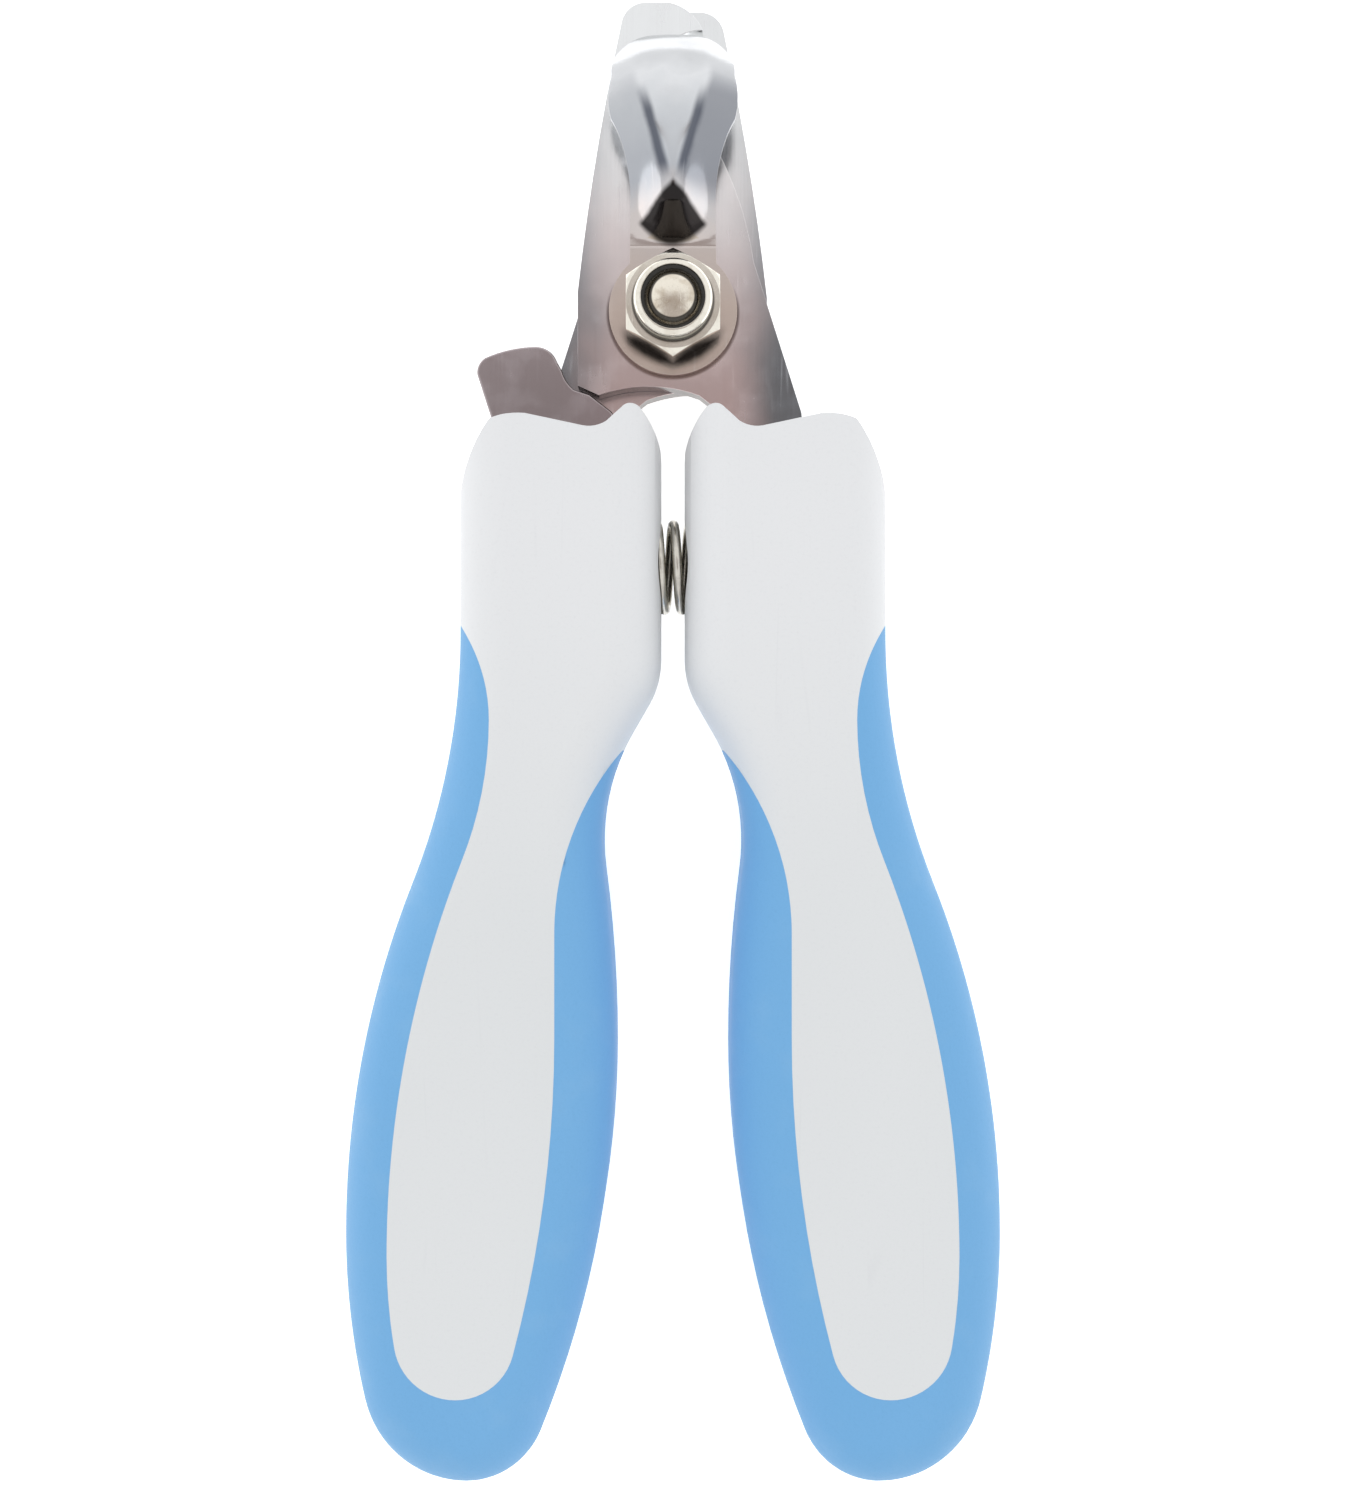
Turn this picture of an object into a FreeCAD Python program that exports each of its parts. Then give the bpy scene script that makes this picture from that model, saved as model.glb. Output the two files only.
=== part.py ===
import FreeCAD, Part
import math
import os

import Sketcher
from FreeCAD import Rotation, Vector

# Scissor nail clipper, lying flat with the nut on top.  +Y points at the blade tips, +Z is the thickness.
# Every piece is drawn about the pivot axis; its Placement then moves the pivot to its place on the Y axis,
# so that the origin is the bottom centre of the whole clipper.

TABLE = [
    # whole tool
    ("blade_reach", 33.9, "pivot to blade tip"),
    ("handle_reach", 126.4, "pivot to handle end"),
    # handles, as distances from the middle line
    ("handle_thick", 18.5, "thickness of a handle"),
    ("edge_round", 5.5, "rounding of the handle's long edges"),
    ("head_inner", 1.3, "inner face of the head"),
    ("head_outer", 23.0, "outer face of the head"),
    ("head_end", 35.0, "how far down the outer face stays straight"),
    ("corner_drop", 37.6, "how far down the inner face stays straight"),
    ("corner_round", 10.0, "radius of the corner under the head"),
    ("neck_slope", 30.0, "slope of the inner side below that corner, degrees"),
    ("neck_round", 24.0, "radius of the hollow below the slope"),
    ("palm_inner", 6.2, "point of the lower handle nearest the middle line"),
    ("palm_rise", 46.4, "handle end to that point"),
    ("palm_round", 145.0, "radius of the inner side above that point"),
    ("side_round", 109.0, "radius of the inner side below that point"),
    ("end_round", 11.5, "radius of the outer half of the handle's end"),
    ("belly_outer", 35.35, "widest point of the handle"),
    ("belly_rise", 26.9, "handle end to the widest point"),
    ("belly_round", 80.0, "radius of the outer side below the widest point"),
    ("waist_round", 73.0, "radius of the hollow on the outer side"),
    # soft grip
    ("panel_outer", 30.15, "widest point of the hard panel"),
    ("panel_belly_rise", 25.4, "handle end to that point"),
    ("panel_belly_round", 58.0, "radius of the panel's outer side below that point"),
    ("panel_waist", 19.4, "narrowest outer point of the panel"),
    ("panel_waist_drop", 44.5, "how far down that point is"),
    ("panel_waist_round", 40.0, "radius of the hollow there"),
    ("panel_flare", 17.0, "radius of the panel's outer side above the waist"),
    ("panel_inner", 12.5, "inner edge of the panel"),
    ("panel_palm_rise", 48.4, "handle end to where the inner edge starts to swell"),
    ("panel_side_round", 130.0, "radius of the inner edge below that point"),
    ("panel_straight", 11.0, "straight length of the inner edge above that point"),
    ("panel_scoop", 30.0, "radius of the inner edge above the straight length"),
    ("panel_end_rise", 10.3, "handle end to the end of the panel"),
    ("panel_end_round", 6.5, "radius of the outer half of the panel's end"),
    ("grip_skin", 2.6, "thickness of the soft grip over the core's rib"),
    ("rib_thick", 8.0, "thickness of the core's rib inside the grip"),
    # blades
    ("plate_thick", 2.5, "blade stock"),
    ("blade_gap", 0.1, "play between the two blades"),
    ("foot_half", 10.4, "spine of the blade at its foot"),
    ("foot_drop", 7.9, "foot corner below the pivot"),
    ("horn_gap", 3.05, "foot corner to the horns of the handle heads"),
    ("tip_half", 3.1, "spine of the blade at its tip"),
    ("tang_inner", 7.3, "inner edge of the tang where it enters the head"),
    ("tang_outer", 14.0, "outer edge of the tang where it enters the head"),
    ("tang_end", 56.0, "pivot to the end of the tang"),
    ("tang_end_width", 6.2, "width of the tang's end"),
    ("anchor_bore", 2.0, "radius of the moulding hole in the tang"),
    ("notch_bore", 5.85, "radius of the nail notch"),
    ("notch_back", 8.95, "blade tip to the middle of the notch"),
    ("notch_side", 6.95, "centre of the notch's cutting arc beside the middle line"),
    ("bevel_shift", 3.67, "how far the ground bevel runs back"),
    # pivot hardware
    ("bolt_bore", 3.0, "radius of the M6 bolt"),
    ("run_gap", 0.06, "radial play of a turning fit"),
    ("dome_land", 3.65, "how far the bolt's domed head stands out past its shank"),
    ("dome_height", 3.1, "height of the domed head"),
    ("cross_half", 3.25, "half the span of the cross recess"),
    ("cross_deep", 2.4, "depth of the cross recess"),
    ("washer_land", 4.8, "how far the toothed washer stands out past the bolt"),
    ("washer_thick", 0.8, "thickness of the toothed washer"),
    ("tooth_count", 40.0, "teeth round the washer"),
    ("tooth_deep", 1.25, "length of the gaps between the teeth"),
    ("nut_wall", 2.0, "wall of the nut at its flats"),
    ("nut_height", 6.2, "height of the nut with its collar"),
    ("nut_hex_height", 4.3, "height of the nut's hexagon"),
    ("insert_wall", 0.4, "wall of the nylon ring"),
    ("collar_wall", 0.8, "wall of the collar round the nylon ring"),
    ("bolt_proud", 0.3, "bolt end above the nut"),
    # nail guard
    ("guard_thick", 1.0, "guard sheet"),
    ("guard_land", 3.95, "how far the guard's pad stands out past the bolt"),
    ("guard_neck", 4.6, "half width of the neck"),
    ("guard_half", 6.9, "half width of the guard over the notch"),
    ("guard_rise", 5.9, "step of the guard over the blade"),
    ("guard_step", 8.0, "pivot to the foot of the step"),
    ("guard_roll", 8.0, "length of the rolled end"),
    ("guard_back", 3.95, "blade tip to the end of the guard"),
    # return spring
    ("spring_drop", 27.5, "spring axis below the pivot"),
    ("spring_half", 5.25, "outside radius of the spring"),
    ("spring_wire", 0.55, "radius of the spring wire"),
    ("spring_seat", 5.5, "depth of each spring pocket"),
    ("spring_turns", 7.5, "turns of the spring"),
    # lock lever and its screw
    ("lever_thick", 2.3, "lever stock"),
    ("lever_side", 11.5, "lever pivot beside the middle line"),
    ("lever_drop", 20.6, "lever pivot below the blade pivot"),
    ("lever_hub", 4.2, "radius of the lever's hub"),
    ("thumb_side", 21.4, "outer side of the thumb tab"),
    ("thumb_drop", 3.6, "top of the thumb tab below the blade pivot"),
    ("slot_play", 0.25, "space all round the lever in its slot"),
    ("screw_half", 1.75, "radius of the lock screw's shank"),
    ("screw_head_half", 3.4, "radius of the lock screw's head"),
    ("screw_head_height", 2.2, "height of the lock screw's head"),
    ("screw_sink", 0.4, "lock screw's head below the back face"),
    ("screw_length", 14.0, "length of the lock screw"),
    ("screw_cross", 2.3, "half the span of the screw's cross recess"),
    ("screw_cross_deep", 1.6, "depth of the screw's cross recess"),
]


class Size:
    """A number together with the spreadsheet expression that it comes from."""

    def __init__(self, value, text):
        self.value = value
        self.text = text

    def __add__(self, other):
        other = as_size(other)
        return Size(self.value + other.value, f"({self.text} + {other.text})")

    def __sub__(self, other):
        other = as_size(other)
        return Size(self.value - other.value, f"({self.text} - {other.text})")

    def __mul__(self, other):
        other = as_size(other)
        return Size(self.value * other.value, f"({self.text} * {other.text})")

    def __truediv__(self, other):
        other = as_size(other)
        return Size(self.value / other.value, f"({self.text} / {other.text})")

    def __radd__(self, other):
        return as_size(other) + self

    def __rsub__(self, other):
        return as_size(other) - self

    def __rmul__(self, other):
        return as_size(other) * self

    def __neg__(self):
        return Size(-self.value, f"(-1 * {self.text})")


def as_size(item):
    """A plain number is a Size whose expression is the number itself."""
    if isinstance(item, Size):
        return item
    return Size(float(item), f"({float(item)})")


doc = FreeCAD.newDocument("NailClipper")
sheet = doc.addObject("Spreadsheet::Sheet", "Sizes")
S = {}
for row, (alias, number, meaning) in enumerate(TABLE, start=1):
    sheet.set(f"A{row}", alias)
    sheet.set(f"B{row}", str(number))
    sheet.set(f"C{row}", meaning)
    sheet.setAlias(f"B{row}", alias)
    S[alias] = Size(number, f"Sizes.{alias}")
doc.recompute()


# ---- sizes that follow from the table -------------------------------------------------------------------

PIVOT_Y = (S["handle_reach"] - S["blade_reach"]) / 2
MIDDLE_Z = S["handle_thick"] / 2
UPPER_Z = MIDDLE_Z + S["blade_gap"] / 2
LOWER_Z = MIDDLE_Z - S["blade_gap"] / 2
GUARD_Z = UPPER_Z + S["plate_thick"] + S["run_gap"]
NUT_Z = GUARD_Z + S["guard_thick"] + S["run_gap"]
HEAD_Z = LOWER_Z - S["plate_thick"] - S["run_gap"] - S["washer_thick"]
LEVER_Z = UPPER_Z + (S["plate_thick"] - S["lever_thick"]) / 2
DOME_HALF = S["bolt_bore"] + S["dome_land"]
WASHER_HALF = S["bolt_bore"] + S["washer_land"]
COLLAR_HALF = S["bolt_bore"] + S["insert_wall"] + S["collar_wall"]


# ---- helpers --------------------------------------------------------------------------------------------

def bind(thing, prop, size):
    thing.setExpression(prop, as_size(size).text)


def new_body(name):
    return doc.addObject("PartDesign::Body", name)


def sketch_on(body, name, role="XY_Plane", lift=0):
    """A sketch on one of the body's own origin planes, lifted off it by a size."""
    sketch = body.newObject("Sketcher::SketchObject", name)
    plane = next(item for item in body.Origin.OriginFeatures if item.Role == role)
    sketch.AttachmentSupport = [(plane, "")]
    sketch.MapMode = "FlatFace"
    bind(sketch, "AttachmentOffset.Base.z", lift)
    return sketch


class Chain:
    """A closed run of lines and arcs in one sketch, each starting where the last one ended."""

    def __init__(self, sketch):
        self.sketch = sketch
        self.links = []

    def line(self, start, end):
        index = self.sketch.addGeometry(Part.LineSegment(Vector(*start), Vector(*end)), False)
        self.links.append((index, 1, 2))
        return index

    def arc(self, centre, radius, from_angle, to_angle):
        """Angles in radians; a falling angle runs clockwise."""
        circle = Part.Circle(Vector(*centre), Vector(0, 0, 1), radius)
        low, high = min(from_angle, to_angle), max(from_angle, to_angle)
        index = self.sketch.addGeometry(Part.ArcOfCircle(circle, low, high), False)
        self.links.append((index, 1, 2) if to_angle > from_angle else (index, 2, 1))
        return index

    def close(self, smooth):
        """Joins each end to the next start: tangent where smooth, otherwise only touching."""
        kind = "Tangent" if smooth else "Coincident"
        for here, there in zip(self.links, self.links[1:] + self.links[:1]):
            self.sketch.addConstraint(Sketcher.Constraint(kind, here[0], here[2], there[0], there[1]))

    def point(self, index, end, across=None, up=None):
        """Ties a point of a link (1 start, 2 end, 3 centre) to sizes measured from the origin."""
        for kind, size in (("DistanceX", across), ("DistanceY", up)):
            if size is not None:
                self.dimension(size, kind, index, end)

    def radius(self, index, size):
        self.dimension(size, "Radius", index)

    def dimension(self, size, kind, *items):
        size = as_size(size)
        row = self.sketch.addConstraint(Sketcher.Constraint(kind, *items, size.value))
        self.sketch.setExpression(f"Constraints[{row}]", size.text)

    def level(self, kind, index, first, second):
        self.sketch.addConstraint(Sketcher.Constraint(kind, index, first, index, second))


def outline(sketch, corners):
    """A closed outline through corners (x, y) or (x, y, radius).

    The optional radius makes the edge that leaves the corner an arc: positive where it swells to the right
    of the way round, negative where it swells to the left.
    """
    chain = Chain(sketch)
    spots = [tuple(as_size(item) for item in corner) for corner in corners]
    for here, there in zip(spots, spots[1:] + spots[:1]):
        start = Vector(here[0].value, here[1].value)
        end = Vector(there[0].value, there[1].value)
        if len(here) == 2:
            index = chain.line(start, end)
        else:
            radius = abs(here[2].value)
            side = 1 if here[2].value > 0 else -1
            chord = end - start
            reach = math.sqrt(radius ** 2 - (chord.Length / 2) ** 2)
            left = Vector(-chord.y, chord.x) / chord.Length
            centre = start + chord / 2 + left * (reach * side)
            first = math.atan2(start.y - centre.y, start.x - centre.x)
            turn = 2 * math.asin(chord.Length / 2 / radius)
            index = chain.arc(centre, radius, first, first + turn * side)
            chain.radius(index, here[2] if side > 0 else -here[2])
        chain.point(index, chain.links[-1][1], here[0], here[1])
    chain.close(smooth=False)
    return chain


def circle_in(sketch, across, up, radius):
    across, up, radius = as_size(across), as_size(up), as_size(radius)
    circle = Part.Circle(Vector(across.value, up.value), Vector(0, 0, 1), radius.value)
    index = sketch.addGeometry(circle, False)
    chain = Chain(sketch)
    chain.point(index, 3, across, up)
    chain.radius(index, radius)


def pad(body, sketch, length, both_ways=False):
    feature = body.newObject("PartDesign::Pad", f"{body.Name}_pad")
    feature.Profile = sketch
    bind(feature, "Length", length)
    feature.Midplane = both_ways
    sketch.Visibility = False
    return feature


def pocket(body, sketch, depth=None, upwards=True):
    """Cuts the sketch out of the body: upwards along the sketch's normal, or all the way both ways."""
    doc.recompute()
    before = body.Shape.Volume
    feature = body.newObject("PartDesign::Pocket", f"{body.Name}_pocket")
    feature.Profile = sketch
    if depth is None:
        feature.Type = 1
        feature.Midplane = True
    else:
        bind(feature, "Length", depth)
        feature.Reversed = upwards
    doc.recompute()
    if body.Shape.Volume > before - 1e-6:
        raise RuntimeError(f"{feature.Name} cuts nothing")
    return feature


def revolve(body, sketch, kind="Revolution"):
    """Turns a sketch on the XZ plane about the body's own Z axis."""
    feature = body.newObject(f"PartDesign::{kind}", f"{body.Name}_{kind.lower()}")
    feature.Profile = sketch
    feature.ReferenceAxis = (sketch, ["V_Axis"])
    feature.Angle = 360.0
    return feature


def cross_recess(body, half_span, depth, lift):
    """A tapered cross recess that opens downwards at the height lift."""
    arm = half_span * 0.26
    sketch = sketch_on(body, f"{body.Name}_cross", lift=lift)
    outline(sketch, [
        (half_span, -arm), (half_span, arm), (arm, arm), (arm, half_span),
        (-arm, half_span), (-arm, arm), (-half_span, arm), (-half_span, -arm),
        (-arm, -arm), (-arm, -half_span), (arm, -half_span), (arm, -arm),
    ])
    feature = pocket(body, sketch, depth)
    feature.TaperAngle = -9.0
    return feature


def place(piece, label, lift=0, turned=None):
    """Names a finished piece and moves its pivot to its place on the Y axis."""
    piece.Label = label
    if turned is not None:
        piece.Placement.Rotation = turned
    bind(piece, "Placement.Base.y", PIVOT_Y)
    bind(piece, "Placement.Base.z", lift)
    return piece


def boolean(kind, name, base, tool):
    made = doc.addObject(f"Part::{kind}", name)
    made.Base = base
    made.Tool = tool
    return made


def fuse(name, shapes):
    made = doc.addObject("Part::MultiFuse", name)
    made.Shapes = shapes
    return made


def mirrored(name, source):
    made = doc.addObject("Part::Mirroring", name)
    made.Source = source
    made.Normal = (1, 0, 0)
    return made


def cylinder(name, radius, height, position, rotation=None):
    made = doc.addObject("Part::Cylinder", name)
    bind(made, "Radius", radius)
    bind(made, "Height", height)
    if rotation is not None:
        made.Placement.Rotation = rotation
    for axis, size in zip("xyz", position):
        bind(made, f"Placement.Base.{axis}", size)
    return made


# ---- handles --------------------------------------------------------------------------------------------

def bulb(chain, inner, bottom, radii, outer, waist):
    """The lower part of a handle outline, drawn anticlockwise from its innermost point.

    inner is the point where the inner side runs straight down, bottom the reach of the rounded end, outer
    the widest point and waist the point above it where the outer side runs straight up again.
    radii are those of the inner side, the end, the outer side below its widest point, and the waist.
    """
    (ix, iy), (ox, oy), (wx, wy) = [[item.value for item in spot] for spot in (inner, outer, waist)]
    side, end, flank, hollow = [item.value for item in radii]
    lowest = bottom.value

    flank_turn = math.asin((oy - lowest - end) / (flank - end))
    end_x = ox - flank + (flank - end) * math.cos(flank_turn)
    across, drop = ix + side - end_x, side - (iy - lowest)
    gap = (across ** 2 + drop ** 2) / (2 * drop)
    heel = side - gap
    side_turn = math.asin((gap - drop) / gap)
    sway = 2 * math.atan((ox - wx) / (wy - oy))
    swell = (wy - oy) / math.sin(sway) - hollow

    inner_side = chain.arc((ix + side, iy), side, math.pi, math.pi + side_turn)
    heel_arc = chain.arc((end_x, lowest + heel), heel, math.pi + side_turn, 1.5 * math.pi)
    end_arc = chain.arc((end_x, lowest + end), end, -0.5 * math.pi, -flank_turn)
    flank_arc = chain.arc((ox - flank, oy), flank, -flank_turn, 0)
    swell_arc = chain.arc((ox - swell, oy), swell, 0, sway)
    waist_arc = chain.arc((wx + hollow, wy), hollow, math.pi + sway, math.pi)

    chain.radius(inner_side, radii[0])
    chain.level("Vertical", heel_arc, 3, 2)
    chain.point(heel_arc, 2, up=bottom)
    chain.radius(end_arc, radii[1])
    chain.radius(flank_arc, radii[2])
    chain.point(flank_arc, 2, *outer)
    chain.level("Horizontal", flank_arc, 3, 2)
    chain.radius(waist_arc, radii[3])


def handle_outline(body):
    """The whole handle seen from the front, with a round top that the head cut takes off later."""
    sketch = sketch_on(body, f"{body.Name}_outline")
    chain = Chain(sketch)
    inner, outer = S["head_inner"], S["head_outer"]
    top = -S["foot_drop"] + 0.8
    drop = -S["corner_drop"]
    corner, neck, palm = S["corner_round"], S["neck_round"], S["palm_round"]
    slope = math.radians(S["neck_slope"].value)
    palm_x, palm_y = S["palm_inner"], S["palm_rise"] - S["handle_reach"]

    head_line = chain.line((outer.value, -S["head_end"].value), (outer.value, top.value))
    half = (outer.value - inner.value) / 2
    chain.arc((inner.value + half, top.value), half, 0, math.pi)
    inner_line = chain.line((inner.value, top.value), (inner.value, drop.value))
    corner_x = inner.value + corner.value
    corner_arc = chain.arc((corner_x, drop.value), corner.value, math.pi, math.pi + slope)
    foot = Vector(corner_x - corner.value * math.cos(slope), drop.value - corner.value * math.sin(slope))
    along = Vector(math.sin(slope), -math.cos(slope))
    away = Vector(-math.cos(slope), -math.sin(slope))
    palm_centre = Vector(palm_x.value + palm.value, palm_y.value)
    # the neck arc touches the sloping line and the palm arc: its centre slides along the line until it does
    lag = foot + away * neck.value - palm_centre
    middle = lag.dot(along)
    run = -middle - math.sqrt(middle ** 2 - lag.dot(lag) + (palm.value + neck.value) ** 2)
    neck_centre = foot + along * run + away * neck.value
    slope_line = chain.line(foot, foot + along * run)
    tilt = math.asin((neck_centre.y - palm_centre.y) / (palm.value + neck.value))
    neck_arc = chain.arc(neck_centre, neck.value, slope, -tilt)
    palm_arc = chain.arc(palm_centre, palm.value, math.pi - tilt, math.pi)
    bulb(chain, (palm_x, palm_y), -S["handle_reach"],
         (S["side_round"], S["end_round"], S["belly_round"], S["waist_round"]),
         (S["belly_outer"], S["belly_rise"] - S["handle_reach"]), (outer, -S["head_end"]))
    chain.close(smooth=True)

    chain.level("Vertical", head_line, 1, 2)
    chain.point(head_line, 1, outer, -S["head_end"])
    chain.point(head_line, 2, up=top)
    chain.level("Vertical", inner_line, 1, 2)
    chain.point(inner_line, 2, inner, drop)
    chain.radius(corner_arc, corner)
    fall = sketch.addConstraint(Sketcher.Constraint("Angle", slope_line, slope - math.pi / 2))
    sketch.setExpression(f"Constraints[{fall}]", "(Sizes.neck_slope - 90) * 1 deg")
    chain.radius(neck_arc, neck)
    chain.radius(palm_arc, palm)
    chain.point(palm_arc, 2, palm_x, palm_y)
    chain.level("Horizontal", palm_arc, 3, 2)
    return sketch


def make_blank():
    """The full right handle, before it is shared out between core and grip."""
    body = new_body("handle_blank")
    sketch = handle_outline(body)
    block = pad(body, sketch, S["handle_thick"])
    doc.recompute()
    rims = [f"Edge{number}" for number, edge in enumerate(block.Shape.Edges, start=1)
            if edge.BoundBox.ZLength < 1e-6]
    rounding = body.newObject("PartDesign::Fillet", "handle_blank_rounding")
    rounding.Base = (block, rims)
    bind(rounding, "Radius", S["edge_round"])
    return body, sketch


def make_panel():
    """The space of the hard core seen from the front: the head and the long panel below it."""
    body = new_body("panel_space")
    sketch = sketch_on(body, "panel_outline", lift=-1)
    chain = Chain(sketch)
    left, right, top = -S["head_inner"], S["head_outer"] + 3, S["foot_drop"]
    inner, palm_y = S["panel_inner"], S["panel_palm_rise"] - S["handle_reach"]
    waist_x, waist_y = S["panel_waist"], -S["panel_waist_drop"]
    flare, scoop = S["panel_flare"], S["panel_scoop"]
    scoop_y = palm_y + S["panel_straight"]

    flare_turn = math.acos(1 - (right.value - waist_x.value) / flare.value)
    flare_top = waist_y.value + flare.value * math.sin(flare_turn)
    scoop_turn = math.acos(1 - (inner.value - left.value) / scoop.value)
    scoop_top = scoop_y.value + scoop.value * math.sin(scoop_turn)

    right_line = chain.line((right.value, flare_top), (right.value, top.value))
    top_line = chain.line((right.value, top.value), (left.value, top.value))
    left_line = chain.line((left.value, top.value), (left.value, scoop_top))
    scoop_arc = chain.arc((inner.value - scoop.value, scoop_y.value), scoop.value, scoop_turn, 0)
    inner_line = chain.line((inner.value, scoop_y.value), (inner.value, palm_y.value))
    bulb(chain, (inner, palm_y), S["panel_end_rise"] - S["handle_reach"],
         (S["panel_side_round"], S["panel_end_round"], S["panel_belly_round"], S["panel_waist_round"]),
         (S["panel_outer"], S["panel_belly_rise"] - S["handle_reach"]), (waist_x, waist_y))
    flare_arc = chain.arc((waist_x.value + flare.value, waist_y.value), flare.value,
                          math.pi, math.pi - flare_turn)
    sharp = (right_line, top_line, left_line, flare_arc)
    for here, there in zip(chain.links, chain.links[1:] + chain.links[:1]):
        touching = here[0] in sharp
        kind = "Coincident" if touching else "Tangent"
        sketch.addConstraint(Sketcher.Constraint(kind, here[0], here[2], there[0], there[1]))

    chain.point(right_line, 2, right, top)
    chain.level("Vertical", right_line, 1, 2)
    chain.level("Horizontal", top_line, 1, 2)
    chain.level("Vertical", left_line, 1, 2)
    chain.point(left_line, 1, across=left)
    chain.radius(scoop_arc, scoop)
    chain.level("Vertical", inner_line, 1, 2)
    chain.point(inner_line, 1, inner, scoop_y)
    chain.point(inner_line, 2, up=palm_y)
    chain.radius(flare_arc, flare)
    chain.point(flare_arc, 2, waist_x, waist_y)
    pad(body, sketch, S["handle_thick"] + 2)
    return body


def make_rib(blank_sketch):
    """The core's thin rib, which runs on under the soft grip."""
    inset = doc.addObject("Part::Offset2D", "rib_outline")
    inset.Source = blank_sketch
    bind(inset, "Value", -S["grip_skin"])
    rib = doc.addObject("Part::Extrusion", "rib")
    rib.Base = inset
    rib.DirMode = "Custom"
    rib.Dir = Vector(0, 0, 1)
    rib.Solid = True
    bind(rib, "LengthFwd", S["rib_thick"])
    bind(rib, "Placement.Base.z", MIDDLE_Z - S["rib_thick"] / 2)
    return rib


def make_head_cut():
    """Everything above the shaped top edge of the right head."""
    body = new_body("head_cut")
    sketch = sketch_on(body, "head_edge", lift=-1)
    inner, outer = S["head_inner"], S["head_outer"]
    peak = -S["foot_drop"] - S["horn_gap"]
    right, top = outer + 4, S["foot_drop"]
    outline(sketch, [
        (right, top), (inner - 3, top), (inner - 3, peak - 7), (inner - 0.1, peak - 5.2, -9),
        (inner + 2.2, peak - 0.4, -1.3), (inner + 4.1, peak - 0.5), (inner + 5.7, peak - 2.0, 3.4),
        (inner + 8.2, peak - 2.5), (outer - 7.4, peak - 1.2, -9), (outer - 3.6, peak - 1.7, -18),
        (outer + 0.3, peak - 12.8), (right, peak - 16),
    ])
    pad(body, sketch, S["handle_thick"] + 2)
    return body


def make_lever_slot():
    """The slot in the left head in which the lever swings."""
    body = new_body("lever_slot")
    sketch = sketch_on(body, "lever_slot_outline", lift=LEVER_Z - S["slot_play"])
    hub_x, hub_y = -S["lever_side"], -S["lever_drop"]
    hub = S["lever_hub"] + S["slot_play"] + 0.2
    right = hub_x + hub + 1.1
    outline(sketch, [
        (right, hub_y + 3), (right, 0), (-S["head_outer"] - 3, 0), (-S["head_outer"] - 3, hub_y + 2.6),
        (hub_x - hub, hub_y, hub), (hub_x, hub_y - hub, hub), (hub_x + hub, hub_y),
    ])
    pad(body, sketch, S["lever_thick"] + S["slot_play"] * 2)
    return body


def make_cores_and_grips(left_blade, right_blade):
    """Shares the handle out between core and grip, then hollows the cores for what they hold."""
    blank, blank_sketch = make_blank()
    panel = make_panel()
    rib = make_rib(blank_sketch)
    head_cut = make_head_cut()
    lever_slot = make_lever_slot()
    for piece in (blank, panel, rib, head_cut, lever_slot):
        bind(piece, "Placement.Base.y", PIVOT_Y)
    hard_space = fuse("hard_space", [panel, rib])
    core = boolean("Cut", "core_blank", boolean("Common", "core_whole", blank, hard_space), head_cut)
    grip = boolean("Cut", "right_grip", blank, hard_space)
    grip.Label = "right_handle_grip"
    mirrored("left_grip", grip).Label = "left_handle_grip"

    pocket_length = (S["head_inner"] + S["spring_seat"]) * 2
    spring_pocket = cylinder("spring_pocket", S["spring_half"] + 0.3, pocket_length,
                             (-pocket_length / 2, PIVOT_Y - S["spring_drop"], MIDDLE_Z),
                             Rotation(Vector(0, 1, 0), 90))
    right_tools = fuse("right_tools", [spring_pocket, right_blade])
    boolean("Cut", "right_core", core, right_tools).Label = "right_handle_core"

    hub = (-S["lever_side"], PIVOT_Y - S["lever_drop"])
    sink = cylinder("screw_sink", S["screw_head_half"] + 0.3, S["screw_sink"] + S["screw_head_height"] + 1,
                    (*hub, -1))
    thread = cylinder("screw_thread", S["screw_half"], S["screw_sink"] + S["screw_length"] + 1, (*hub, -1))
    left_tools = fuse("left_tools", [spring_pocket, left_blade, lever_slot, sink, thread])
    boolean("Cut", "left_core", mirrored("core_turned", core), left_tools).Label = "left_handle_core"


# ---- blades ---------------------------------------------------------------------------------------------

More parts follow.
